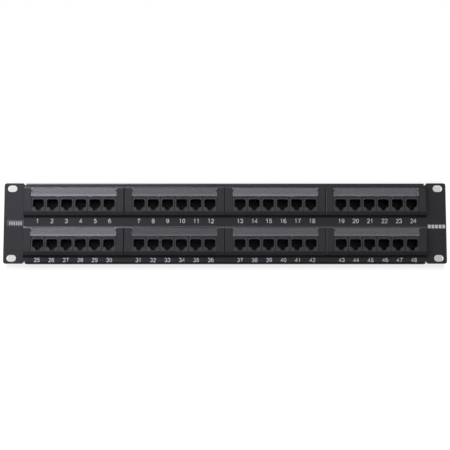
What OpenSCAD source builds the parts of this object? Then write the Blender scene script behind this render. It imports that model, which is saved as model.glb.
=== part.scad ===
// 48-port rack patch panel, two units high, millimetres.
// Frame: origin at the centre of the four rack slots on the plate's rear
// (mating) face. +X to the right seen from the front, +Y back into the rack,
// +Z up. The front of the panel faces -Y.
// Each six-port module is drawn in its own coordinates: u across from the
// module's middle, y as above, w down from its top edge.

/* [Panel plate] */
// Overall width across both rack ears (mm)
panel_w = 482.6; // [482.6]
// Height of two rack units less the standard gap (mm)
panel_h = 88.1; // [87:0.1:88.9]
// Sheet thickness (mm)
sheet = 1.6; // [1.2:0.1:2.0]
// Radius of the ear corners (mm)
corner_r = 2.5; // [0.5:0.1:4]
// Depth of the folded top and bottom flanges, front face to rear edge (mm)
flange_depth = 13; // [8:0.5:20]
// Outside radius of the fold (mm)
fold_r = 2.2; // [1.8:0.1:3]
// Half distance between the fold's relief notches (mm)
notch_x = 219.7; // [215:0.1:222]
// Width of a relief notch, taken just beyond the plate's edge (mm)
notch_w = 4; // [2:0.1:6]
// Depth of a relief notch (mm)
notch_d = 2.3; // [1:0.1:4]

/* [Rack slots] */
// Distance between slot centres across the panel (mm)
slot_px = 465.1; // [465.1]
// Distance between slot centres up the panel (mm)
slot_pz = 76.2; // [76.2]
// Slot length, end to end (mm)
slot_l = 10.4; // [7:0.1:12]
// Slot height (mm)
slot_h = 7.2; // [6.5:0.1:7.5]

/* [Module layout] */
// Distance between module centres along a row (mm)
module_pitch = 109.8; // [109.2:0.1:110.4]
// Height of the top row's upper bezel edge above the panel's middle (mm)
row_1_top = 40.0; // [38:0.1:41]
// Distance from the top row down to the bottom row (mm)
row_pitch = 43.6; // [43:0.1:44.5]

/* [Bezel] */
// Bezel width (mm)
bezel_w = 109.4; // [106:0.1:109.5]
// Bezel height (mm)
bezel_h = 33.2; // [32:0.1:34]
// How far the bezel stands in front of the plate (mm)
bezel_proud = 4.0; // [2:0.1:6]
// Chamfer on the bezel's top edge (mm)
bezel_chamfer = 1.9; // [0.5:0.1:2.5]
// Chamfer on the bezel's side edges (mm)
side_chamfer = 0.6; // [0.3:0.1:2]
// Half width of the label recess (mm)
recess_u = 46.7; // [46:0.1:48]
// Depth of the label recess behind the bezel's front (mm)
recess_d = 2.5; // [2:0.1:3]
// Half width of the skirt that passes through the plate (mm)
skirt_u = 50.5; // [49:0.1:51]
// Skirt wall thickness, top and bottom (mm)
skirt_wall = 1.6; // [1.2:0.1:2.5]
// Clearance between the skirt and the plate's opening, each side (mm)
skirt_gap = 0.2; // [0.1:0.05:0.5]
// How far the skirt reaches behind the plate's rear face (mm)
skirt_depth = 14; // [12:0.5:18]

/* [Label cover] */
// Half length of the clear cover (mm)
cover_u = 46.4; // [45:0.1:46.5]
// Thickness of the clear sheet (mm)
cover_t = 0.9; // [0.7:0.1:1.2]
// Radius of the hinge pins at the cover's ends (mm)
hinge_pin_r = 0.5; // [0.4:0.05:0.6]
// Running clearance around a hinge pin (mm)
hinge_gap = 0.06; // [0.02:0.01:0.1]

/* [Jacks] */
// Distance between ports (mm)
port_pitch = 15.4; // [15.25:0.05:15.4]
// Width of one jack housing (mm)
jack_w = 15.2; // [14.5:0.05:15.2]
// Half width of the plug opening (mm)
plug_u = 6.1; // [5.95:0.05:6.3]
// Distance between contact wires (mm)
wire_pitch = 1.02; // [1.02]
// Width of a contact wire (mm)
wire_w = 0.46; // [0.35:0.01:0.5]

/* [Circuit board and rear terminals] */
// Board thickness (mm)
board_t = 1.6; // [1.2:0.1:2]
// Distance between wire slots in a terminal block (mm)
idc_pitch = 3.76; // [3.7:0.01:3.8]
// Height of one terminal block (mm)
idc_h = 11; // [9:0.5:12]
// How far a terminal block stands behind the board (mm)
idc_d = 15; // [10:0.5:18]
// Radius of a board screw's shank (mm)
screw_r = 0.9; // [0.8:0.05:1.2]

/* [Hidden] */

module_count = 8;
columns = 4;
past = 1;                             // how far most cuts run past a face
front_y = -sheet - bezel_proud;       // bezel's front plane
board_y = skirt_depth;                // board's front face
rear_y = board_y + board_t;           // board's rear face
hinge_y = front_y + 1.15;             // hinge line of a label cover
hinge_w = 1.95;
skirt_top = 2.8;
skirt_bottom = 30.4;
screw_u = 48.25;                      // board screws, each side of the middle
screw_rows = [8, 25.2];               // their two heights, w

steel = [0.07, 0.07, 0.075];
abs_black = [0.06, 0.06, 0.065];
jack_black = [0.10, 0.10, 0.105];
clear = [0.75, 0.78, 0.80, 0.35];
board_green = [0.05, 0.30, 0.16];
block_white = [0.85, 0.85, 0.80];
gold = [0.83, 0.66, 0.25];
tin = [0.72, 0.73, 0.74];
zinc = [0.66, 0.67, 0.69];
badge_grey = [0.72, 0.73, 0.74];

// ---- Shapes and placing ---------------------------------------------------
// Limits are [low, high] pairs: across in u, back in y, down in w.

function span(half, middle = 0) = [middle - half, middle + half];

// An outline's points reflected left to right, in reverse order.
function mirrored(points) =
  [for (i = [len(points) - 1:-1:0]) [-points[i][0], points[i][1]]];

function both_sides(points) = concat(points, mirrored(points));

module box(across, back, down)
  translate([across[0], back[0], -down[1]])
    cube([across[1] - across[0], back[1] - back[0], down[1] - down[0]]);

// Prism along u from [y, w] points.
module prism_across(across, points)
  translate([across[0], 0, 0]) rotate([90, 0, 90])
    linear_extrude(height = across[1] - across[0])
      polygon([for (p = points) [p[0], -p[1]]]);

// Prism along w from [u, y] points.
module prism_down(down, points)
  translate([0, 0, -down[1]])
    linear_extrude(height = down[1] - down[0]) polygon(points);

// Prism along y from [u, w] points.
module prism_back(back, points)
  translate([0, back[1], 0]) rotate([90, 0, 0])
    linear_extrude(height = back[1] - back[0])
      polygon([for (p = points) [p[0], -p[1]]]);

module pin_across(across, radius, sides = 32)
  translate([across[0], 0, 0]) rotate([0, 90, 0])
    cylinder(h = across[1] - across[0], r = radius, $fn = sides);

module pin_back(back, radius, sides)
  translate([0, back[1], 0]) rotate([90, 0, 0])
    cylinder(h = back[1] - back[0], r = radius, $fn = sides);

// Flat plate facing the front with four round corners.
module rounded_plate(width, height, radius, back, sides) {
  corner_x = width / 2 - radius;
  corner_z = height / 2 - radius;
  box(span(corner_x), back, span(height / 2));
  box(span(width / 2), back, span(corner_z));
  for (x = span(corner_x), z = span(corner_z))
    translate([x, 0, z]) pin_back(back, radius, sides);
}

// The children and their reflection across the middle.
module both_ends()
  for (k = [0, 1]) mirror([k, 0, 0]) children();

// A centred row of copies.
module row_of(count, pitch)
  for (k = [0:count - 1])
    translate([(k - (count - 1) / 2) * pitch, 0, 0]) children();

// Modules 1 to 4 fill the top row, left to right, and 5 to 8 the bottom row.
module at_module(number) {
  column = (number - 1) % columns;
  row = floor((number - 1) / columns);
  translate([(column - (columns - 1) / 2) * module_pitch, 0, row_1_top - row * row_pitch])
    children();
}

module at_screws()
  for (u = span(screw_u), w = screw_rows) translate([u, 0, -w]) children();

// ---- Plate ----------------------------------------------------------------

fold_end = notch_x - notch_w / 2;     // half length of a fold
edge_z = panel_h / 2;
notch_side = 1;                       // the notch's reach over the fold's end
notch_floor = 0.9;                    // the notch floor's reach beyond it
plate_cut = [-sheet - past, past];

// The folded top edge: a quarter-round bend, then the flange running back.
module fold() {
  bend_y = fold_r - sheet;
  bend_z = edge_z - fold_r;
  difference() {
    intersection() {
      translate([0, bend_y, bend_z]) pin_across(span(fold_end), fold_r, 64);
      translate([-fold_end, -sheet, bend_z]) cube([2 * fold_end, fold_r, fold_r]);
    }
    translate([0, bend_y, bend_z])
      pin_across(span(fold_end + past), fold_r - sheet, 48);
  }
  translate([-fold_end, bend_y, edge_z - sheet])
    cube([2 * fold_end, flange_depth - fold_r, sheet]);
}

// Clears the top edge for the fold and cuts a tapered notch at each end of it.
module fold_relief() {
  translate([-fold_end, -sheet - past, edge_z - fold_r])
    cube([2 * fold_end, sheet + 2 * past, fold_r + past]);
  both_ends() translate([0, past, 0]) rotate([90, 0, 0])
    linear_extrude(height = sheet + 2 * past)
      polygon([[fold_end - notch_side, edge_z - notch_d],
               [fold_end + notch_floor, edge_z - notch_d],
               [fold_end + notch_w, edge_z + past],
               [fold_end - notch_side, edge_z + past]]);
}

module slot_cut() {
  end_x = (slot_l - slot_h) / 2;
  for (x = span(end_x)) translate([x, 0, 0]) pin_back(plate_cut, slot_h / 2, 48);
  box(span(end_x), plate_cut, span(slot_h / 2));
}

module front_plate() {
  color(steel) union() {
    difference() {
      rounded_plate(panel_w, panel_h, corner_r, [-sheet, 0], 48);
      for (k = [0, 1]) mirror([0, 0, k]) fold_relief();
      for (x = span(slot_px / 2), z = span(slot_pz / 2)) translate([x, 0, z]) slot_cut();
      for (number = [1:module_count]) at_module(number)
        box(span(skirt_u + skirt_gap), plate_cut,
            [skirt_top - skirt_gap, skirt_bottom + skirt_gap]);
    }
    for (k = [0, 1]) mirror([0, 0, k]) fold();
  }
}

// ---- Bezel ----------------------------------------------------------------

recess_top = 0.85;
window_u = 46.3;                      // half width of the jack window
window_top = 11.5;                    // also the label recess's lower edge
window_bottom = 27.5;
skirt_overlap = 0.5;                  // skirt's start in front of the plate
pin_hole = [-0.5, 1.3];               // hinge hole's ends from the recess's end

snap_u = 30.6;                        // snap arms, each side of the middle
snap_half = 3;                        // half width of an arm
snap_catch = 0.9;                     // catch height above the skirt
snap_window_half = 3.8;
snap_window = [-1.2, 8];

groove_u = 49.6;                      // floor of the end walls' outer grooves
groove_front = 6;
groove_down = [13.6, 19.6];
screw_hole_y = 5;                     // blind end of a screw hole
screw_hole_gap = 0.05;

// The face block: a top chamfer, a front plane, a lower bar that leans back a
// little, and a bottom chamfer, all mitred with the side chamfers.
module bezel_face() {
  half = bezel_w / 2;
  // Columns: y, w.
  side_view = [[-sheet, 0], [front_y + bezel_chamfer, 0], [front_y, bezel_chamfer],
               [front_y, 27.4], [front_y + 0.6, 31.0], [front_y + 2.6, bezel_h],
               [-sheet, bezel_h]];
  // Columns: u, y.
  right_end = [[half, -sheet], [half, front_y + side_chamfer],
               [half - side_chamfer, front_y]];
  intersection() {
    prism_across(span(half), side_view);
    prism_down([0, bezel_h], both_sides(right_end));
  }
}

// One snap arm, rooted at its window's rear end, its ramp rising forward to a
// catch behind the plate. side is -1 on the top wall and 1 on the bottom wall.
module snap_arm(side) {
  outer = side < 0 ? skirt_top : skirt_bottom;
  inner = outer - side * skirt_wall;
  tip = outer + side * snap_catch;
  // Columns: y, w.
  prism_across(span(snap_half),
    [[0.05, inner], [0.05, tip], [0.6, tip], [5.2, outer], [8.2, outer], [8.2, inner]]);
}

module bezel_cuts() {
  rear_cut = skirt_depth + past;
  inside_top = skirt_top + skirt_wall;
  inside_bottom = skirt_bottom - skirt_wall;
  // Label recess, jack window and the hollow inside the skirt.
  box(span(recess_u), [front_y - past, front_y + recess_d], [recess_top, window_top]);
  box(span(window_u), [front_y - past, past], [window_top, window_bottom]);
  box(span(window_u), [-sheet, rear_cut], [inside_top, inside_bottom]);
  // Holes for the cover's hinge pins.
  both_ends() translate([0, hinge_y, -hinge_w])
    pin_across([recess_u + pin_hole[0], recess_u + pin_hole[1]], hinge_pin_r + hinge_gap);
  // Windows in the skirt that free the snap arms.
  both_ends()
    for (down = [[skirt_top - past, inside_top + past],
                 [inside_bottom - past, skirt_bottom + past]])
      box(span(snap_window_half, snap_u), snap_window, down);
  // Screw holes in the thick end walls.
  at_screws() pin_back([screw_hole_y, rear_cut], screw_r + screw_hole_gap, 24);
  // Groove in the outer face of each end wall, open to the rear.
  both_ends() box([groove_u, skirt_u + 0.5], [groove_front, rear_cut], groove_down);
}

module bezel(number) {
  color(abs_black) at_module(number) union() {
    difference() {
      union() {
        bezel_face();
        box(span(skirt_u), [-sheet - skirt_overlap, skirt_depth], [skirt_top, skirt_bottom]);
      }
      bezel_cuts();
    }
    both_ends() translate([snap_u, 0, 0]) {
      snap_arm(-1);
      snap_arm(1);
    }
    // Teeth that sit in the notches at the cover's ends.
    both_ends()
      box([recess_u - 1.0, recess_u + 0.5], [front_y + 0.3, front_y + recess_d + 0.3],
          [3.9, 5.3]);
  }
}

// ---- Label cover ----------------------------------------------------------

cover_y = front_y + 0.2;              // cover's front face
cover_rear = cover_y + cover_t;
cover_bottom = 10.8;
lip_y = cover_y - 1.0;                // front of the lip along the lower edge
barrel_r = 0.85;                      // rounded upper edge on the hinge line
pin_reach = 0.9;                      // hinge pin's reach beyond the recess
tab_u = 17.75;                        // lower tabs, each side of the middle
tab_half = 1.5;
cheek_t = 0.9;                        // thickness of the returns at the ends
cheek_d = 1.9;

module label_cover(number) {
  color(clear) at_module(number) difference() {
    union() {
      translate([0, hinge_y, -hinge_w]) {
        pin_across(span(cover_u), barrel_r);
        pin_across(span(recess_u + pin_reach), hinge_pin_r);
      }
      // Clear sheet and lip. Columns: y, w.
      prism_across(span(cover_u),
        [[cover_y, hinge_w], [cover_y, 7.9], [lip_y, 10.3], [lip_y, cover_bottom],
         [cover_rear, cover_bottom], [cover_rear, hinge_w]]);
      both_ends() {
        box(span(tab_half, tab_u), [cover_y, cover_rear], [10.6, 11.3]);
        box([cover_u - cheek_t, cover_u], [cover_y, cover_y + cheek_d],
            [hinge_w, cover_bottom]);
      }
    }
    // Notch through each end.
    both_ends()
      box([cover_u - 1.1, cover_u + 0.2], [cover_y - 0.5, cover_y + 3], [3.5, 5.5]);
  }
}

// ---- Jacks ----------------------------------------------------------------

ports = 6;
wires = 8;
jack_y = front_y + 0.1;               // face of the jacks
jack_top = 11.7;
jack_bottom = 27.3;
mouth_rear = jack_y + 1.8;
hollow_y = jack_y + 1.7;              // hollows start just inside the mouth
plug_bottom = 22.35;
edge_step = 0.35;                     // step along the face's two side edges

// Right half of the mouth: lifted top, shoulders and latch slot. Columns: u, w.
mouth_right = [[4.8, 14.0], [plug_u - 0.05, 15.5], [plug_u, plug_bottom],
               [4.8, plug_bottom], [2.4, 24.6], [2.2, 24.6], [2.2, 26.3]];

module jack_one() {
  half = jack_w / 2;
  difference() {
    box(span(half), [jack_y, board_y], [jack_top, jack_bottom]);
    prism_back([jack_y - past, mouth_rear], both_sides(mouth_right));
    // Plug hollow behind the mouth.
    box(span(plug_u - 0.1), [hollow_y, 8.5], [14.6, plug_bottom]);
    // Room for the latch behind its shoulders.
    box(span(3.4), [hollow_y, 6], [22.2, 26.0]);
    // Wire chamber, open to the board.
    box(span(4.5), [hollow_y, board_y + past], [12.9, 15.7]);
    // Pocket in the rear face.
    box(span(5.5), [10.5, board_y + past], [17.5, 24.5]);
    both_ends()
      box([half - edge_step, half + past], [jack_y - past, jack_y + edge_step],
          [jack_top - past, jack_bottom + past]);
  }
}

module jack_housings(number) {
  color(jack_black) at_module(number) row_of(ports, port_pitch) jack_one();
}

// Hairpin wire: a straight leg forward from the board, a nose behind the
// mouth, and a spring leg sloping back and down. Columns: y, w.
wire_profile = [[board_y, 13.1], [-1.6, 13.1], [-1.9, 13.45], [7.6, 15.55],
                [7.68, 15.2], [-0.9, 13.42], [board_y, 13.42]];

module jack_contacts(number) {
  color(gold) at_module(number)
    row_of(ports, port_pitch) row_of(wires, wire_pitch)
      prism_across(span(wire_w / 2), wire_profile);
}

// ---- Circuit board --------------------------------------------------------

board_u = 49.6;                       // half width
board_down = [3.2, 30.0];
board_hole_gap = 0.2;

module circuit_board(number) {
  color(board_green) at_module(number) difference() {
    box(span(board_u), [board_y, rear_y], board_down);
    at_screws() pin_back([board_y - past, rear_y + past], screw_r + board_hole_gap, 24);
  }
}

// ---- Rear terminal blocks -------------------------------------------------

idc_slots = 8;
idc_block_pitch = 30.6;               // three blocks across
idc_rows = [4.1, 18.1];               // top edges of the two rows, w
idc_half = idc_slots / 2 * idc_pitch;
idc_top = rear_y + idc_d;             // tips of the tall teeth
idc_floor = rear_y + 6;               // bottom of the wire slots
tooth_half = idc_pitch / 2 - 0.62;    // pitch less the slot, halved
blade_y = rear_y + 1.4;               // front of the blades and their channel

// Outlines in [u, y].
end_tooth = [[idc_half, rear_y],
             [idc_half, idc_top - 1.2],
             [idc_half - tooth_half + 0.5, idc_top - 1.2],
             [idc_half - tooth_half, idc_top - 2.6],
             [idc_half - tooth_half, idc_floor]];
tall_tooth = [[tooth_half, idc_floor], [tooth_half, idc_top - 2.4], [0.3, idc_top]];
short_tooth = [[tooth_half, idc_floor], [tooth_half, idc_top - 3.2]];

// Inner tooth k, counted from the right: short when odd, tall when even.
function inner_tooth(k) =
  [for (p = both_sides(k % 2 == 0 ? tall_tooth : short_tooth))
    [idc_half - k * idc_pitch + p[0], p[1]]];

// Eight wire slots between nine teeth, tall pointed ones between wire pairs and
// short flat ones inside a pair, split lengthwise by the blade channel.
module idc_block() {
  inner_teeth = [for (k = [1:idc_slots - 1]) each inner_tooth(k)];
  difference() {
    prism_down([0, idc_h], concat(end_tooth, inner_teeth, mirrored(end_tooth)));
    box(span(idc_half - 0.5), [blade_y, idc_top + past], span(0.4, idc_h / 2));
  }
}

// Forked blade, its fork open to the rear.
module idc_blade() {
  difference() {
    box(span(1.35), [blade_y, rear_y + 11.4], span(0.25, idc_h / 2));
    box(span(0.2), [rear_y + 5.4, rear_y + 12], span(1, idc_h / 2));
  }
}

module idc_places()
  row_of(3, idc_block_pitch)
    for (w = idc_rows) translate([0, 0, -w]) children();

module idc_blocks(number) {
  color(block_white) at_module(number) idc_places() idc_block();
}

module idc_contacts(number) {
  color(tin) at_module(number) idc_places() row_of(idc_slots, idc_pitch) idc_blade();
}

// ---- Board screws ---------------------------------------------------------

head_r = 1.8;
head_side = 0.9;                      // height of the head's straight side
head_taper = 0.5;
head_top_r = 1.1;
cross_l = 2.0;
cross_w = 0.44;

// Pan-head screw with a cross recess, its head behind the board.
module board_screw() {
  difference() {
    union() {
      pin_back([6, rear_y + 0.5], screw_r, 24);
      pin_back([rear_y, rear_y + head_side], head_r, 32);
      translate([0, rear_y + head_side, 0]) rotate([-90, 0, 0])
        cylinder(h = head_taper, r1 = head_r, r2 = head_top_r, $fn = 32);
    }
    for (angle = [0, 90]) translate([0, rear_y + 0.5, 0]) rotate([0, angle, 0])
      translate([-cross_l / 2, 0, -cross_w / 2]) cube([cross_l, 2, cross_w]);
  }
}

module board_screws() {
  color(zinc) for (number = [1:module_count]) at_module(number) at_screws() board_screw();
}

// ---- Ear badge ------------------------------------------------------------

badge_place = [-228.5, 0, 0.2];
badge_tilt = 1.2;                     // degrees
badge_w = 18.8;
badge_h = 7.0;
badge_t = 0.4;
badge_corner_r = 0.8;

// Blank badge on the front of the left ear.
module ear_badge() {
  color(badge_grey) translate(badge_place) rotate([0, badge_tilt, 0])
    rounded_plate(badge_w, badge_h, badge_corner_r, [-sheet - badge_t, -sheet], 24);
}

// ---- Nodes ----------------------------------------------------------------

module bezel_1() { bezel(1); }
module bezel_2() { bezel(2); }
module bezel_3() { bezel(3); }
module bezel_4() { bezel(4); }
module bezel_5() { bezel(5); }
module bezel_6() { bezel(6); }
module bezel_7() { bezel(7); }
module bezel_8() { bezel(8); }
module label_cover_1() { label_cover(1); }
module label_cover_2() { label_cover(2); }
module label_cover_3() { label_cover(3); }
module label_cover_4() { label_cover(4); }
module label_cover_5() { label_cover(5); }
module label_cover_6() { label_cover(6); }
module label_cover_7() { label_cover(7); }
module label_cover_8() { label_cover(8); }
module jack_housings_1() { jack_housings(1); }
module jack_housings_2() { jack_housings(2); }
module jack_housings_3() { jack_housings(3); }
module jack_housings_4() { jack_housings(4); }
module jack_housings_5() { jack_housings(5); }
module jack_housings_6() { jack_housings(6); }
module jack_housings_7() { jack_housings(7); }
module jack_housings_8() { jack_housings(8); }
module jack_contacts_1() { jack_contacts(1); }
module jack_contacts_2() { jack_contacts(2); }
module jack_contacts_3() { jack_contacts(3); }
module jack_contacts_4() { jack_contacts(4); }
module jack_contacts_5() { jack_contacts(5); }
module jack_contacts_6() { jack_contacts(6); }
module jack_contacts_7() { jack_contacts(7); }
module jack_contacts_8() { jack_contacts(8); }
module circuit_board_1() { circuit_board(1); }
module circuit_board_2() { circuit_board(2); }
module circuit_board_3() { circuit_board(3); }
module circuit_board_4() { circuit_board(4); }
module circuit_board_5() { circuit_board(5); }
module circuit_board_6() { circuit_board(6); }
module circuit_board_7() { circuit_board(7); }
module circuit_board_8() { circuit_board(8); }
module idc_blocks_1() { idc_blocks(1); }
module idc_blocks_2() { idc_blocks(2); }
module idc_blocks_3() { idc_blocks(3); }
module idc_blocks_4() { idc_blocks(4); }
module idc_blocks_5() { idc_blocks(5); }
module idc_blocks_6() { idc_blocks(6); }
module idc_blocks_7() { idc_blocks(7); }
module idc_blocks_8() { idc_blocks(8); }
module idc_contacts_1() { idc_contacts(1); }
module idc_contacts_2() { idc_contacts(2); }
module idc_contacts_3() { idc_contacts(3); }
module idc_contacts_4() { idc_contacts(4); }
module idc_contacts_5() { idc_contacts(5); }
module idc_contacts_6() { idc_contacts(6); }
module idc_contacts_7() { idc_contacts(7); }
module idc_contacts_8() { idc_contacts(8); }

front_plate();
bezel_1();
label_cover_1();
jack_housings_1();
jack_contacts_1();
circuit_board_1();
idc_blocks_1();
idc_contacts_1();
bezel_2();
label_cover_2();
jack_housings_2();
jack_contacts_2();
circuit_board_2();
idc_blocks_2();
idc_contacts_2();
bezel_3();
label_cover_3();
jack_housings_3();
jack_contacts_3();
circuit_board_3();
idc_blocks_3();
idc_contacts_3();
bezel_4();
label_cover_4();
jack_housings_4();
jack_contacts_4();
circuit_board_4();
idc_blocks_4();
idc_contacts_4();
bezel_5();
label_cover_5();
jack_housings_5();
jack_contacts_5();
circuit_board_5();
idc_blocks_5();
idc_contacts_5();
bezel_6();
label_cover_6();
jack_housings_6();
jack_contacts_6();
circuit_board_6();
idc_blocks_6();
idc_contacts_6();
bezel_7();
label_cover_7();
jack_housings_7();
jack_contacts_7();
circuit_board_7();
idc_blocks_7();
idc_contacts_7();
bezel_8();
label_cover_8();
jack_housings_8();
jack_contacts_8();
circuit_board_8();
idc_blocks_8();
idc_contacts_8();
board_screws();
ear_badge();
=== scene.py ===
# A 48-port rack patch panel: eight modules of six jacks in two rows of four, with an ear at each end.
# Width runs along X, centred on 0. The front faces -Y, the terminals face +Y, and Z is up.
import bpy, bmesh, math
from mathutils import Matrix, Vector


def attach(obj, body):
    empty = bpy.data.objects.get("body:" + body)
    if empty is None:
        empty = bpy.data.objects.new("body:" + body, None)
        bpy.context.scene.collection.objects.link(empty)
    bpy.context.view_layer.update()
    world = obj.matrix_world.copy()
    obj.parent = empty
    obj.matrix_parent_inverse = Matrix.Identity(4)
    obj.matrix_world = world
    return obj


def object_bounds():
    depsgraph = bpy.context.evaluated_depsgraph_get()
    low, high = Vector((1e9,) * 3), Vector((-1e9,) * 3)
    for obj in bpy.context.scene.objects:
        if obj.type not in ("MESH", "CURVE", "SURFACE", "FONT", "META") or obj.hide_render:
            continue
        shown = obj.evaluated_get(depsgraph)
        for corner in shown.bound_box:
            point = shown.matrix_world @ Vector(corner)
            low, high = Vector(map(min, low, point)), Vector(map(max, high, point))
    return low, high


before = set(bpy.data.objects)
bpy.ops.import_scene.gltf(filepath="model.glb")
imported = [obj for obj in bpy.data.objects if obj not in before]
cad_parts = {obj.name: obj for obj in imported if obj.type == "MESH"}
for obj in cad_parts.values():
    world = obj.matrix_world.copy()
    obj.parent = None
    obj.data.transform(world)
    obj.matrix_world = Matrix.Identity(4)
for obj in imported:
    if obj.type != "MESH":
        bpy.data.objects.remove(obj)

cad_low, cad_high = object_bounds()
MM = 0.001

# ---------------------------------------------------------------- layout (mm)
PLATE_FRONT_Y = -1.6
BOARD_REAR_Y = 15.6
MODULES, COLUMNS, PORTS = 8, 4, 6      # modules in all, modules in a row, ports in a module
MODULE_PITCH = 109.8
ROW1_TOP, ROW_PITCH = 40.0, 43.6


# ------------------------------------------------------------- shader helpers
PRINCIPLED_INPUTS = {
    "color": "Base Color", "rough": "Roughness", "metal": "Metallic", "normal": "Normal",
    "spec": "Specular IOR Level", "coat": "Coat Weight", "coat_rough": "Coat Roughness",
    "sss": "Subsurface Weight", "sss_scale": "Subsurface Scale"}


def scaled(color, factor):
    return tuple(c * factor for c in color)


class Shader:
    """Builds the node tree of a material or world. Lengths in shaders are in metres."""

    def __init__(self, owner, output):
        self.owner = owner
        owner.use_nodes = True
        self.tree = owner.node_tree
        self.tree.nodes.clear()
        self.output = self.add(output)

    def add(self, kind, inputs=None, **props):
        node = self.tree.nodes.new("ShaderNode" + kind)
        for key, value in props.items():
            setattr(node, key, value)
        for key, value in (inputs or {}).items():
            self.put(node, key, value)
        return node

    def put(self, node, key, value):
        """Link a socket, or a node's first output, or set a plain value. RGB gets an alpha of 1."""
        socket = node.inputs[key]
        if isinstance(value, bpy.types.Node):
            value = value.outputs[0]
        if isinstance(value, bpy.types.NodeSocket):
            self.tree.links.new(value, socket)
        elif socket.type == "RGBA" and len(value) == 3:
            socket.default_value = (*value, 1)
        else:
            socket.default_value = value

    def coord(self, output="Object"):
        return self.add("TexCoord").outputs[output]

    def split(self, vector):
        return self.add("SeparateXYZ", {"Vector": vector}).outputs

    def stretch(self, vector, scale):
        return self.add("Mapping", {"Vector": vector, "Scale": scale})

    def noise(self, scale, detail=2.0, rough=0.5, vector=None, seed=0.0):
        return self.add("TexNoise", {"Vector": vector or self.coord(), "Scale": scale,
                                     "Detail": detail, "Roughness": rough, "W": seed},
                        noise_dimensions="4D").outputs["Fac"]

    def remap(self, value, span=(0.3, 0.7), to=(0.0, 1.0)):
        """Map span onto to, clamped. The default span is the middle of a noise."""
        return self.add("MapRange", {"Value": value, "From Min": span[0], "From Max": span[1],
                                     "To Min": to[0], "To Max": to[1]})

    def math(self, operation, *values):
        return self.add("Math", dict(enumerate(values)), operation=operation)

    def plus(self, first, second):
        return self.math("ADD", first, second)

    def times(self, first, second):
        return self.math("MULTIPLY", first, second)

    def dot(self, first, second):
        return self.add("VectorMath", {0: first, 1: second},
                        operation="DOT_PRODUCT").outputs["Value"]

    def mix(self, factor, first, second):
        return self.add("Mix", {0: factor, 6: first, 7: second}, data_type="RGBA").outputs[2]

    def mix_shader(self, factor, first, second):
        return self.add("MixShader", {0: factor, 1: first, 2: second})

    def bump(self, height, strength, distance, normal=None):
        inputs = {"Height": height, "Strength": strength, "Distance": distance}
        if normal is not None:
            inputs["Normal"] = normal
        return self.add("Bump", inputs)

    def edge(self, radius):
        """0 on flats, towards 1 close to convex and concave edges."""
        rounded = self.add("Bevel", {"Radius": radius}, samples=4)
        true_normal = self.add("NewGeometry").outputs["Normal"]
        return self.remap(self.dot(rounded, true_normal), span=(1.0, 0.82))

    def principled(self, **inputs):
        return self.add("BsdfPrincipled", {PRINCIPLED_INPUTS[k]: v for k, v in inputs.items()})

    def done(self, surface):
        self.put(self.output, "Surface", surface)
        return self.owner


def new_material(name):
    return Shader(bpy.data.materials.new(name), "OutputMaterial")


# ------------------------------------------------------------------ materials
def paint_edge_light(mat, base, color, rough):
    """Paint highlights and shade onto the front edges of the bezels, and dull some; returns colour
    and roughness.
    """
    # Painted highlight: upright edges are paler, more so towards the right.
    normal_x = mat.split(mat.coord("Normal"))["X"]
    x = mat.split(mat.coord())["X"]
    left = mat.times(mat.remap(normal_x, span=(-0.60, -0.45), to=(1.0, 0.0)),
                     mat.remap(x, span=(-0.17, 0.12)))
    right = mat.times(mat.remap(normal_x, span=(0.45, 0.60)),
                      mat.remap(x, span=(0.0, 0.21), to=(0.2, 0.9)))
    front = mat.remap(mat.split(mat.coord())["Y"], span=(-0.0030, -0.0025), to=(1.0, 0.0))
    upright = mat.times(front, mat.math("MAXIMUM", left, right))
    color = mat.mix(upright, color, scaled(base, 2.7))
    # Painted shade on the upper edges of the top row, and painted highlight on those of the bottom
    # one.
    normal_z = mat.split(mat.coord("Normal"))["Z"]
    z = mat.split(mat.coord())["Z"]
    upper = mat.times(mat.remap(normal_z, span=(0.35, 0.55)), front)
    top_row = mat.remap(z, span=(0.0, 0.001))
    color = mat.mix(mat.times(upper, top_row), color, scaled(base, 0.4))
    bottom_row = mat.math("SUBTRACT", 1.0, top_row)
    color = mat.mix(mat.times(upper, bottom_row), color, scaled(base, 2.6))
    # The left end of the top row is rougher there too.
    dull = mat.times(top_row, mat.remap(x, span=(-0.13, 0.02), to=(0.22, 0.0)))
    return color, mat.plus(rough, mat.times(dull, upper))


def paint_inner_shade(mat, start, color, rough):
    """Paint shade onto what lies behind y = start (mm), darkest at the right, and dull it."""
    position = mat.split(mat.coord())
    inside = mat.remap(position["Y"], span=(start * MM, (start + 0.9) * MM))
    shade = mat.mix(mat.remap(position["X"], span=(-0.21, 0.21)),
                    (0.033, 0.035, 0.044), (0.005, 0.005, 0.006))
    return mat.mix(inside, color, shade), mat.plus(rough, mat.times(inside, 0.3))


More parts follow.
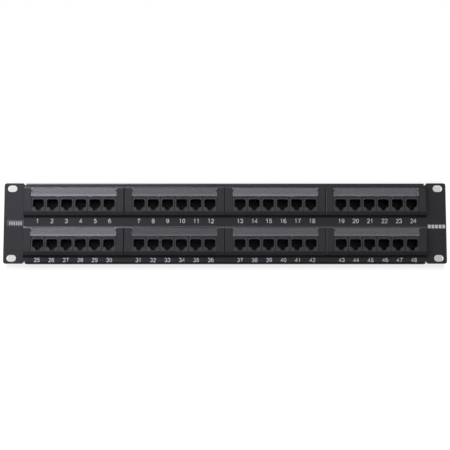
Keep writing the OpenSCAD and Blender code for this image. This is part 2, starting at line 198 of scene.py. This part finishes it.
def dark_plastic(name, base, grain, rough, bump, wear, painted_edge_light=False, painted_shade_from=None):
    """Moulded or coated black: fine grain, faint cloudy gloss and paler worn edges, with optional
    painted highlights and shade on the edges and painted shade inside.
    """
    mat = new_material(name)
    fine = mat.noise(scale=grain, detail=4.0, rough=0.6)
    cloud = mat.noise(scale=38.0, detail=3.0, seed=2.0)
    streak = mat.noise(scale=420.0, seed=4.0)
    color = mat.mix(mat.remap(cloud), scaled(base, 0.86), scaled(base, 1.16))
    scuffs = mat.noise(scale=900.0, detail=3.0, rough=0.65, seed=7.0)
    worn = mat.times(mat.edge(radius=0.00035),
                     mat.remap(scuffs, span=(0.45, 0.75), to=(0.0, wear)))
    color = mat.mix(worn, color, (0.16, 0.16, 0.165))
    gloss = mat.plus(mat.remap(cloud, span=(0.25, 0.75), to=(rough - 0.05, rough + 0.05)),
                     mat.remap(streak, to=(-0.03, 0.03)))
    # Optional painted highlights and shade on the front edges.
    if painted_edge_light:
        color, gloss = paint_edge_light(mat, base, color, gloss)
    # Optional painted shade inside the ports.
    if painted_shade_from is not None:
        color, gloss = paint_inner_shade(mat, painted_shade_from, color, gloss)
    normal = mat.bump(fine, strength=bump, distance=0.00006)
    coarse = mat.noise(scale=grain * 0.28, seed=9.0)
    normal = mat.bump(coarse, strength=bump * 0.6, distance=0.00010, normal=normal)
    return mat.done(mat.principled(color=color, rough=gloss, normal=normal, spec=0.45))


def metal(name, base, rough, grain=1600.0, bump=0.15, brushed=False):
    mat = new_material(name)
    vector = mat.coord()
    if brushed:
        vector = mat.stretch(vector, scale=(1.0, 0.06, 1.0))
    fine = mat.noise(scale=grain, detail=4.0, rough=0.6, vector=vector)
    cloud = mat.noise(scale=220.0, seed=3.0)
    color = mat.mix(mat.remap(cloud), scaled(base, 0.88), base)
    gloss = mat.remap(fine, span=(0.25, 0.75), to=(rough - 0.06, rough + 0.08))
    normal = mat.bump(fine, strength=bump, distance=0.00004)
    return mat.done(mat.principled(color=color, rough=gloss, metal=1.0, normal=normal))


def clear_plastic():
    """Clear cover sheet: mostly see-through, a slight milky haze, fine drawn streaks and a glossy
    skin. The thick lower lip and the end ribs hold more haze than the thin sheet, partly from their
    thickness and partly as a painted highlight; upward faces hold less, a painted shade."""
    mat = new_material("clear_cover")
    coord = mat.coord()
    position = mat.split(coord)
    below_top = mat.math("FLOORED_MODULO",
                         mat.math("SUBTRACT", ROW1_TOP * MM, position["Z"]), ROW_PITCH * MM)
    lip = mat.remap(below_top, span=(0.0080, 0.0086))
    along = mat.math("FLOORED_MODULO", mat.plus(position["X"], 2 * MODULE_PITCH * MM),
                     MODULE_PITCH * MM)
    off_centre = mat.math("ABSOLUTE", mat.math("SUBTRACT", along, 0.5 * MODULE_PITCH * MM))
    rib = mat.remap(off_centre, span=(0.0454, 0.0456))

    ripple = mat.noise(scale=70.0, rough=0.45, vector=mat.stretch(coord, scale=(0.25, 1.0, 1.0)))
    drawn = mat.noise(scale=1500.0, rough=0.6, seed=5.0,
                      vector=mat.stretch(coord, scale=(0.02, 1.0, 1.0)))
    normal = mat.bump(ripple, strength=0.05, distance=0.0002)
    normal = mat.bump(drawn, strength=0.05, distance=0.00003, normal=normal)

    milk = mat.mix(mat.remap(drawn), (0.34, 0.34, 0.355), (0.42, 0.42, 0.435))
    # Painted light: each cover's object colour scales its haze, standing in for the light and
    # reflection it catches.
    per_cover_painted_light = mat.add("ObjectInfo").outputs["Color"]
    milk = mat.add("VectorMath", {0: milk, 1: per_cover_painted_light}, operation="MULTIPLY")
    haze_with_painted_light = mat.principled(color=milk, rough=mat.remap(drawn, to=(0.22, 0.34)), normal=normal,
                          spec=0.5, coat=0.25, coat_rough=0.15)
    clear = mat.add("BsdfTransparent", {"Color": (0.93, 0.94, 0.95)})

    # Share of haze: more at grazing angles; less on upward faces, a painted shade; more in the thick
    # lip and ribs, partly thickness and partly a painted highlight; more at edges.
    facing = mat.add("LayerWeight", {"Blend": 0.35, "Normal": normal}).outputs["Facing"]
    share = mat.plus(mat.remap(facing, span=(0.0, 1.0), to=(0.30, 0.85)),
                     mat.remap(ripple, to=(-0.015, 0.015)))
    normal_z = mat.split(mat.coord("Normal"))["Z"]
    # Painted shade: less haze on upward faces.
    share = mat.times(share, mat.remap(normal_z, span=(0.15, 0.40), to=(1.0, 0.42)))
    # Painted highlight, with some real thickness: more haze in the lip and ribs.
    share = mat.plus(share, mat.times(mat.math("MAXIMUM", lip, rib), 0.14))
    share = mat.plus(share, mat.times(rib, 0.08))
    share = mat.plus(share, mat.times(mat.edge(radius=0.0005), 0.30))
    return mat.done(mat.mix_shader(share, clear, haze_with_painted_light))


def board_material():
    """Green solder mask over copper tracks, seen as slightly raised, lighter lines."""
    mat = new_material("solder_mask")
    coord = mat.coord()
    x = mat.split(coord)["X"]
    # Upright tracks that step sideways by multiples of 0.35 mm, missing in patches.
    jog = mat.noise(scale=160.0, detail=0.0, rough=0.0, seed=1.0,
                    vector=mat.stretch(coord, scale=(0.6, 0.0, 1.0)))
    jog = mat.times(mat.math("FLOOR", mat.times(jog, 10.0)), 0.00035)
    tracks_per_metre, track_half_width = 900.0, 0.22     # the half width is a share of the lane
    lane = mat.math("FRACT", mat.times(mat.plus(x, jog), tracks_per_metre))
    track = mat.math("LESS_THAN", mat.math("ABSOLUTE", mat.math("SUBTRACT", lane, 0.5)),
                     track_half_width)
    patches = mat.math("GREATER_THAN", mat.noise(scale=90.0, detail=1.0, seed=6.0), 0.42)
    track = mat.times(track, patches)
    grain = mat.noise(scale=1500.0, detail=3.0, rough=0.6)
    color = mat.mix(track, (0.006, 0.075, 0.032), (0.018, 0.165, 0.062))
    color = mat.mix(mat.remap(grain, to=(0.0, 0.25)), color, (0.004, 0.05, 0.02))
    # The cut sides show the woven laminate.
    normal_y = mat.split(mat.add("NewGeometry").outputs["Normal"])["Y"]
    side = mat.math("LESS_THAN", mat.math("ABSOLUTE", normal_y), 0.7)
    weave = mat.noise(scale=3000.0, vector=mat.stretch(coord, scale=(0.3, 2.0, 0.3)))
    laminate = mat.mix(weave, (0.20, 0.24, 0.10), (0.36, 0.38, 0.20))
    color = mat.mix(side, color, laminate)
    return mat.done(mat.principled(
        color=color, rough=mat.remap(side, span=(0.0, 1.0), to=(0.24, 0.7)),
        normal=mat.bump(track, strength=0.35, distance=0.00004), spec=0.5))


def block_plastic():
    """Off-white terminal plastic that lets a little light in."""
    mat = new_material("terminal_plastic")
    fine = mat.noise(scale=3800.0, detail=3.0, rough=0.6)
    cloud = mat.noise(scale=60.0, seed=2.0)
    color = mat.mix(mat.remap(cloud), (0.50, 0.49, 0.45), (0.58, 0.57, 0.53))
    return mat.done(mat.principled(
        color=color, rough=mat.remap(fine, span=(0.25, 0.75), to=(0.36, 0.50)),
        normal=mat.bump(fine, strength=0.12, distance=0.00005),
        sss=0.15, sss_scale=0.002, spec=0.5))


def ink(name, base, rough=0.55):
    """Screen-printed ink, a little uneven, with darker pin-holes."""
    mat = new_material(name)
    fine = mat.noise(scale=5200.0, detail=3.0, rough=0.6)
    holes = mat.remap(fine, span=(0.62, 0.80), to=(0.0, 0.5))
    color = mat.mix(holes, base, scaled(base, 0.55))
    return mat.done(mat.principled(color=color, rough=rough,
                                   normal=mat.bump(fine, strength=0.2, distance=0.00003)))


def badge_foil():
    """Dark foil with fine streaks along X."""
    mat = new_material("badge_foil")
    streak = mat.noise(scale=1400.0, detail=3.0, rough=0.6,
                       vector=mat.stretch(mat.coord(), scale=(0.08, 1.0, 1.0)))
    cloud = mat.noise(scale=120.0, seed=1.0)
    color = mat.mix(mat.remap(cloud), (0.085, 0.083, 0.104), (0.120, 0.118, 0.142))
    return mat.done(mat.principled(
        color=color, rough=mat.remap(streak, to=(0.32, 0.46)), metal=0.35,
        normal=mat.bump(streak, strength=0.15, distance=0.00003)))


POWDER_COAT = dark_plastic("powder_coat", base=(0.0270, 0.0270, 0.0290), grain=2100.0,
                           rough=0.50, bump=0.35, wear=0.25)
# The bezels get painted highlights and shade on their edges.
BEZEL_PLASTIC = dark_plastic("bezel_plastic", base=(0.0300, 0.0300, 0.0320), grain=4600.0,
                             rough=0.44, bump=0.20, wear=0.40, painted_edge_light=True)
# The jacks get painted shade inside their ports.
JACK_PLASTIC = dark_plastic("jack_plastic", base=(0.0600, 0.0605, 0.0640), grain=5200.0,
                            rough=0.42, bump=0.12, wear=0.15, painted_shade_from=-5.46)
# Darker than bare gold throughout: painted shade, as the contacts sit deep in the dark ports.
GOLD = metal("gold_plate", base=(0.42, 0.29, 0.105), rough=0.34)
TIN = metal("tin_plate", base=(0.78, 0.78, 0.77), rough=0.30, brushed=True)
ZINC = metal("zinc_plate", base=(0.70, 0.71, 0.73), rough=0.27, grain=2600.0, bump=0.22)
CLEAR_COVER = clear_plastic()
SOLDER_MASK = board_material()
TERMINAL_PLASTIC = block_plastic()
WHITE_INK = ink("white_ink", (0.88, 0.88, 0.90))
BADGE_INK = ink("badge_ink", (0.60, 0.60, 0.66))
BADGE_FOIL = badge_foil()

# ------------------------------------------------------------------ CAD parts
# Part kind: material, bevel width (mm)
PARTS = {
    "front_plate": (POWDER_COAT, 0.22),
    "bezel": (BEZEL_PLASTIC, 0.28),
    "label_cover": (CLEAR_COVER, 0.16),
    "jack_housings": (JACK_PLASTIC, 0.07),
    "jack_contacts": (GOLD, 0.06),
    "circuit_board": (SOLDER_MASK, 0.10),
    "idc_blocks": (TERMINAL_PLASTIC, 0.14),
    "idc_contacts": (TIN, 0.05),
    "board_screws": (ZINC, 0.10),
    "ear_badge": (BADGE_FOIL, 0.08),
}
# Painted light: a brightness factor on the milky haze of each of covers 1 to 8, standing in for the
# light and reflection each one catches.
COVER_PAINTED_LIGHT = [1.52, 1.08, 1.38, 1.12, 1.44, 0.78, 1.03, 1.08]


def add_modifier(part, name, kind, **settings):
    modifier = part.modifiers.new(name, kind)
    for key, value in settings.items():
        setattr(modifier, key, value)


def dress_part(name, part):
    kind = next(k for k in PARTS if name == k or name.startswith(k + "_"))
    material, bevel = PARTS[kind]
    part.data.materials.clear()
    part.data.materials.append(material)
    # Each cover's painted light goes into its object colour.
    if kind == "label_cover":
        haze_with_painted_light = COVER_PAINTED_LIGHT[int(name.rsplit("_", 1)[1]) - 1]
        part.color = (haze_with_painted_light, haze_with_painted_light, haze_with_painted_light, 1.0)
    # Only the screws are shaded smooth: on the rest, light must not bend across the large flats.
    flat = kind != "board_screws"
    add_modifier(part, "weld", "WELD", merge_threshold=1e-6)
    if not flat:
        add_modifier(part, "merge_flats", "DECIMATE", decimate_type="DISSOLVE",
                     angle_limit=math.radians(0.6))
    add_modifier(part, "soft_edges", "BEVEL", width=bevel * MM, segments=3 if flat else 2,
                 limit_method="ANGLE", angle_limit=math.radians(35), use_clamp_overlap=True)
    for polygon in part.data.polygons:
        polygon.use_smooth = not flat
    if not flat:
        add_modifier(part, "normals", "WEIGHTED_NORMAL", mode="FACE_AREA", weight=100,
                     thresh=0.001)


for name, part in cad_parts.items():
    dress_part(name, part)


# -------------------------------------------------------------- mesh helpers
def add_piece(name, mesh, materials):
    """Turn a bmesh into an object that rides on the panel."""
    bmesh.ops.recalc_face_normals(mesh, faces=mesh.faces[:])
    data = bpy.data.meshes.new(name)
    mesh.to_mesh(data)
    mesh.free()
    piece = bpy.data.objects.new(name, data)
    bpy.context.scene.collection.objects.link(piece)
    for material in materials:
        data.materials.append(material)
    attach(piece, "panel")


def stroke(mesh, points, closed, half_width, y_inner, y_outer):
    """A raised ribbon of constant width along points (mm in XZ), its joints mitred."""
    count = len(points)
    rows = []
    for k in range(count):
        here = Vector(points[k])
        into = out = None
        if closed or k:
            into = (here - Vector(points[(k - 1) % count])).normalized()
        if closed or k < count - 1:
            out = (Vector(points[(k + 1) % count]) - here).normalized()
        into, out = into or out, out or into
        tangent = (into + out).normalized()
        mitre = Vector((-tangent.y, tangent.x)) * half_width / max(0.45, tangent.dot(out))
        rows.append([mesh.verts.new((side.x * MM, y * MM, side.y * MM))
                     for side in (here + mitre, here - mitre) for y in (y_outer, y_inner)])
    for k in range(count if closed else count - 1):
        row, after = rows[k], rows[(k + 1) % count]
        for i, j in ((0, 2), (2, 3), (3, 1), (1, 0)):
            mesh.faces.new((row[i], row[j], after[j], after[i]))
    if not closed:
        for end in (rows[0], rows[-1]):
            mesh.faces.new((end[0], end[2], end[3], end[1]))


def rounded_bar(mesh, x, z, width, height, radius, y_inner, y_outer, slot=0, tilt=0.0, segments=5):
    """A thin bar with rounded corners in XZ, centred on x, z; mm, tilt in degrees."""
    cos, sin = math.cos(math.radians(tilt)), math.sin(math.radians(tilt))
    outline = []
    for side_x, side_z, start in ((1, 1, 0), (-1, 1, 90), (-1, -1, 180), (1, -1, 270)):
        for s in range(segments + 1):
            angle = math.radians(start + 90 * s / segments)
            across = side_x * (width / 2 - radius) + radius * math.cos(angle)
            up = side_z * (height / 2 - radius) + radius * math.sin(angle)
            outline.append((x + across * cos + up * sin, z - across * sin + up * cos))
    outer, inner = [[mesh.verts.new((px * MM, y * MM, pz * MM)) for px, pz in outline]
                    for y in (y_outer, y_inner)]
    faces = [mesh.faces.new(outer[::-1]), mesh.faces.new(inner)]
    for i in range(len(outline)):
        j = (i + 1) % len(outline)
        faces.append(mesh.faces.new((outer[i], outer[j], inner[j], inner[i])))
    for face in faces:
        face.material_index = slot


# --------------------------------------------------------------- port numbers
def arc(x, z, radius_x, radius_z, start, end, steps=14):
    """Points on an ellipse from start to end degrees."""
    angles = [math.radians(start + (end - start) * k / steps) for k in range(steps + 1)]
    return [(x + radius_x * math.cos(a), z + radius_z * math.sin(a)) for a in angles]


def line(points):
    return False, points


def ring(x, z, radius_x, radius_z, steps):
    return True, arc(x, z, radius_x, radius_z, 90, 450, steps)[:-1]


# Stroke centre lines of plain upright figures, one unit high and about 0.6 wide.
# Each stroke is (closed, points), the points being x, z.
FIGURES = {
    "0": [ring(0.31, 0.5, 0.245, 0.44, 32)],
    "1": [line([(0.13, 0.76), (0.24, 0.81), (0.33, 0.94), (0.33, 0.06)])],
    "2": [line(arc(0.31, 0.69, 0.235, 0.25, 168, -25, 16)
               + [(0.30, 0.32), (0.08, 0.06), (0.56, 0.06)])],
    "3": [line(arc(0.29, 0.71, 0.22, 0.23, 160, -90, 16)),
          line(arc(0.29, 0.27, 0.255, 0.215, 90, -165, 18))],
    "4": [line([(0.60, 0.29), (0.05, 0.29), (0.42, 0.93), (0.42, 0.06)])],
    "5": [line([(0.53, 0.94), (0.16, 0.94), (0.10, 0.52)]
               + arc(0.30, 0.345, 0.255, 0.285, 128, -160, 20))],
    "6": [line(arc(0.36, 0.60, 0.285, 0.34, 62, 178) + [(0.065, 0.44)]),
          ring(0.315, 0.335, 0.245, 0.28, 28)],
    "7": [line([(0.06, 0.94), (0.56, 0.94), (0.36, 0.56), (0.24, 0.06)])],
    "8": [ring(0.31, 0.725, 0.205, 0.215, 24), ring(0.31, 0.285, 0.25, 0.235, 28)],
    "9": [line(arc(0.26, 0.40, 0.285, 0.34, 242, 358) + [(0.555, 0.56)]),
          ring(0.305, 0.665, 0.245, 0.28, 28)],
}
# Shares of a figure's height: advance, half a stroke. The stretch widens the figures.
ADVANCE, HALF_STROKE = 0.76, 0.084
FIGURE_CENTRE, STRETCH = 0.31, 1.08
NUMBERS_X, NUMBER_GROUP_PITCH, NUMBER_PITCH = 0.5, 110.45, 15.72     # mm
NUMBER_ROWS = ((2.6, 4.7), (-40.0, 4.4))     # centre z, figure height (mm)


def add_number(mesh, text, x, z, height):
    """A number centred on x, z, on the front of the plate."""
    advance = ADVANCE * height
    total = advance * (len(text) - 1)
    for k, figure in enumerate(text):
        left = x - total / 2 + k * advance - FIGURE_CENTRE * height * STRETCH
        for j, (closed, points) in enumerate(FIGURES[figure]):
            placed = [(left + px * height * STRETCH, z - height / 2 + pz * height)
                      for px, pz in points]
            # Each further stroke stands 0.008 mm prouder, so that no two faces coincide.
            stroke(mesh, placed, closed, HALF_STROKE * height,
                   PLATE_FRONT_Y - 0.005, PLATE_FRONT_Y - 0.03 - 0.008 * j)


def add_port_numbers():
    mesh = bmesh.new()
    for index in range(MODULES * PORTS):
        module, port = divmod(index, PORTS)
        row, column = divmod(module, COLUMNS)
        x = NUMBERS_X + (column - 1.5) * NUMBER_GROUP_PITCH + (port - 2.5) * NUMBER_PITCH
        z, height = NUMBER_ROWS[row]
        add_number(mesh, str(index + 1), x, z, height)
    add_piece("port_numbers", mesh, [WHITE_INK])


# ---------------------------------------------------- plain marks on the ears
def add_badge_bars():
    """Six bars on the left ear's badge, along a line that falls to the right."""
    mesh = bmesh.new()
    for j in range(6):
        rounded_bar(mesh, x=-234.6 + j * 2.45, z=0.1 - 0.05 * (j - 2.5),
                    width=1.4, height=4.0, radius=0.35, tilt=1.2,
                    y_inner=PLATE_FRONT_Y - 0.395, y_outer=PLATE_FRONT_Y - 0.44)
    add_piece("badge_bars", mesh, [BADGE_INK])


def add_ear_mark():
    """Five bars on the right ear."""
    mesh = bmesh.new()
    for j in range(5):
        rounded_bar(mesh, x=230.6 + (j - 2) * 3.95, z=-3.5, width=3.15, height=4.0, radius=0.6,
                    y_inner=PLATE_FRONT_Y - 0.003, y_outer=PLATE_FRONT_Y - 0.035)
    add_piece("ear_mark", mesh, [WHITE_INK])


# ----------------------------------------------------------- wiring code strips
PAIR_COLORS = {"blue": (0.02, 0.09, 0.42), "orange": (0.62, 0.20, 0.02),
               "green": (0.02, 0.28, 0.06), "brown": (0.20, 0.08, 0.03)}
STRIP_BELOW_TOP, STRIP_PITCH = 16.6, 30.6     # mm
CELL_PITCH, CELL_ROW_OFFSET = 3.76, 0.62      # mm
CELL_HEIGHTS = (1.0, 0.38)                    # first and second wire of a pair (mm)
PAPER_Y = BOARD_REAR_Y + 0.10


def add_code_strip(mesh, x, z):
    """A paper strip with two rows of eight coloured cells, running towards -X."""
    paper_slot = len(PAIR_COLORS)
    rounded_bar(mesh, x, z, width=29.6, height=2.7, radius=0.3,
                y_inner=BOARD_REAR_Y + 0.002, y_outer=PAPER_Y, slot=paper_slot)
    for cell in range(8):
        pair, wire = divmod(cell, 2)
        for row in (-1, 1):
            rounded_bar(mesh, x - (cell - 3.5) * CELL_PITCH, z + row * CELL_ROW_OFFSET,
                        width=3.0, height=CELL_HEIGHTS[wire], radius=0.12,
                        y_inner=PAPER_Y, y_outer=BOARD_REAR_Y + 0.13, slot=pair, segments=2)


def add_code_strips():
    """Three strips on the rear of each board, between its two rows of terminals."""
    inks = [ink("code_" + name, color, rough=0.4) for name, color in PAIR_COLORS.items()]
    paper = ink("code_paper", (0.72, 0.72, 0.70), rough=0.45)
    mesh = bmesh.new()
    for module in range(MODULES):
        row, column = divmod(module, COLUMNS)
        for c in (-1, 0, 1):
            add_code_strip(mesh, (column - 1.5) * MODULE_PITCH + c * STRIP_PITCH,
                           ROW1_TOP - row * ROW_PITCH - STRIP_BELOW_TOP)
    add_piece("wiring_code_strips", mesh, inks + [paper])


add_port_numbers()
add_badge_bars()
add_ear_mark()
add_code_strips()


# ------------------------------------------------------------ stage (metres)
def floor_material():
    """Pale paint, kept pale far from the lamps by a glow, and clear from below."""
    mat = new_material("floor_paint")
    color = mat.mix(mat.noise(scale=3.0), (0.36, 0.36, 0.36), (0.39, 0.39, 0.39))
    paint = mat.principled(color=color, rough=0.75, spec=0.1)
    geometry = mat.add("NewGeometry").outputs
    far = mat.add("VectorMath", {0: geometry["Position"]}, operation="LENGTH").outputs["Value"]
    glow = mat.add("Emission", {"Color": (1, 1, 1),
                                "Strength": mat.remap(far, span=(0.5, 1.6), to=(0.70, 1.0))})
    lit = mat.add("AddShader", {0: paint, 1: glow})
    return mat.done(mat.mix_shader(geometry["Backfacing"], lit, mat.add("BsdfTransparent")))


def wall_material():
    """White glowing paper with a painted shadow of the panel, seen only by a camera that looks nearly
    straight at the panel's front.
    """
    mat = new_material("wall_paper")
    geometry = mat.add("NewGeometry").outputs
    seen = mat.remap(mat.dot(geometry["Incoming"], (0.0, -1.0, 0.0)), span=(0.945, 0.958))
    # Painted shadow: the glow is weaker where the panel hangs in front of it, most of all at the
    # right, and in a rim just beyond its edges; white around that.
    position = mat.split(geometry["Position"])
    high = mat.math("ABSOLUTE", position["Z"])
    shade = mat.plus(mat.remap(position["X"], span=(-0.2325, 0.2325), to=(0.665, 0.485)),
                     mat.remap(position["Z"], span=(-0.038, 0.038), to=(-0.035, 0.02)))
    rim = mat.remap(high, span=(0.046, 0.052), to=(0.80, 1.0))
    outside = mat.math("MAXIMUM", mat.remap(high, span=(0.0425, 0.0435)),
                       mat.remap(mat.math("ABSOLUTE", position["X"]), span=(0.2395, 0.2405)))
    end_rim = mat.remap(mat.math("ABSOLUTE", position["X"]), span=(0.2345, 0.2440), to=(0.5, 1.0))
    painted_shadow_tone = mat.add("Mix", {0: outside, 2: shade, 3: mat.math("MAXIMUM", rim, end_rim)})
    paper = mat.add("BsdfDiffuse", {"Color": (0.16, 0.16, 0.16)})
    glow = mat.add("Emission", {"Color": (1, 1, 1), "Strength": painted_shadow_tone})
    lit = mat.add("AddShader", {0: paper, 1: glow})
    return mat.done(mat.mix_shader(seen, mat.add("BsdfTransparent"), lit))


def add_backdrop(name, location, material, upright=False):
    """A 12 m square sheet that only the camera sees."""
    half = 6.0
    corners = [(-half, -half), (half, -half), (half, half), (-half, half)]
    data = bpy.data.meshes.new(name)
    data.from_pydata([(u, 0, v) if upright else (u, v, 0) for u, v in corners],
                     [], [(0, 1, 2, 3)])
    data.materials.append(material)
    sheet = bpy.data.objects.new(name, data)
    sheet.location = location
    bpy.context.scene.collection.objects.link(sheet)
    sheet.visible_diffuse = sheet.visible_glossy = False
    sheet.visible_transmission = sheet.visible_shadow = False


def set_world():
    """A broad soft glow from the front and upper left, darker on the right and underneath, plus
    an even glow from behind. The camera sees plain white."""
    world = bpy.data.worlds.new("studio")
    bpy.context.scene.world = world
    sky = Shader(world, "OutputWorld")
    direction = sky.split(sky.coord("Generated"))
    lobe = sky.dot(sky.coord("Generated"), Vector((-0.50, -0.78, 0.38)).normalized())
    lobe = sky.remap(lobe, span=(0.15, 1.0), to=(0.10, 1.9))
    lift = sky.remap(direction["Z"], span=(-0.5, 0.1), to=(0.16, 1.0))
    strength = 0.06
    glow = sky.times(sky.times(lobe, lift), strength)
    behind = sky.remap(direction["Y"], span=(0.0, 0.5), to=(0.0, 0.42))
    ambient = sky.add("Background", {0: (1.0, 1.0, 1.01), 1: sky.plus(glow, behind)})
    white = sky.add("Background", {0: (1, 1, 1), 1: 1.0})
    is_camera = sky.add("LightPath").outputs["Is Camera Ray"]
    sky.done(sky.mix_shader(is_camera, ambient, white))


COOL = (1.0, 0.985, 1.13)
# Name, place, aim, size, watts, colour
AREA_LIGHTS = [
    ("key", (-0.55, -0.75, 0.40), (-0.08, 0, 0), (0.55, 0.45), 2.25, COOL),
    ("side", (-1.0, -0.55, 0.15), (-0.06, 0, 0), (0.6, 0.6), 2.7, COOL),
    ("front", (0.1, -1.3, 0.25), (0, 0, 0), (1.2, 0.8), 2.1, (1.0, 0.985, 1.08)),
    ("fill", (0.9, -1.1, 0.30), (0, 0, 0), (0.9, 0.7), 1.4, (1, 1, 1)),
    ("top", (-0.36, -0.06, 0.80), (-0.14, 0, 0), (0.8, 0.4), 9.5, (1, 1, 1)),
    ("back", (0.3, 1.3, 0.30), (0, 0, 0), (1.4, 0.8), 6.0, (1, 1, 1)),
]


def add_area_light(name, place, aim, size, power, color):
    data = bpy.data.lights.new(name, "AREA")
    data.shape = "RECTANGLE"
    data.size, data.size_y = size
    data.energy = power
    data.color = color
    light = bpy.data.objects.new(name, data)
    light.location = place
    light.rotation_mode = "QUATERNION"
    light.rotation_quaternion = (Vector(aim) - Vector(place)).to_track_quat("-Z", "Y")
    light.visible_camera = False
    bpy.context.scene.collection.objects.link(light)


def add_camera():
    """One metre in front of the panel and slightly below it."""
    data = bpy.data.cameras.new("camera")
    data.sensor_width = 36.0
    data.lens = 73.24
    data.clip_start, data.clip_end = 0.01, 50.0
    camera = bpy.data.objects.new("camera", data)
    elevation, distance = math.radians(-5.2), 1.0
    aim = Vector((0, 0, -0.00167))
    back = Vector((0.0, -math.cos(elevation), math.sin(elevation)))
    camera.location = aim + back * distance
    camera.rotation_mode = "QUATERNION"
    camera.rotation_quaternion = (-back).to_track_quat("-Z", "Y")
    bpy.context.scene.collection.objects.link(camera)
    bpy.context.scene.camera = camera


add_backdrop("floor", (0, 0, cad_low.z - 0.0002), floor_material())
add_backdrop("wall", (0, 0.015, 0), wall_material(), upright=True)
set_world()
for light in AREA_LIGHTS:
    add_area_light(*light)
add_camera()
view = bpy.context.scene.view_settings
view.view_transform = "Standard"
view.look = "None"
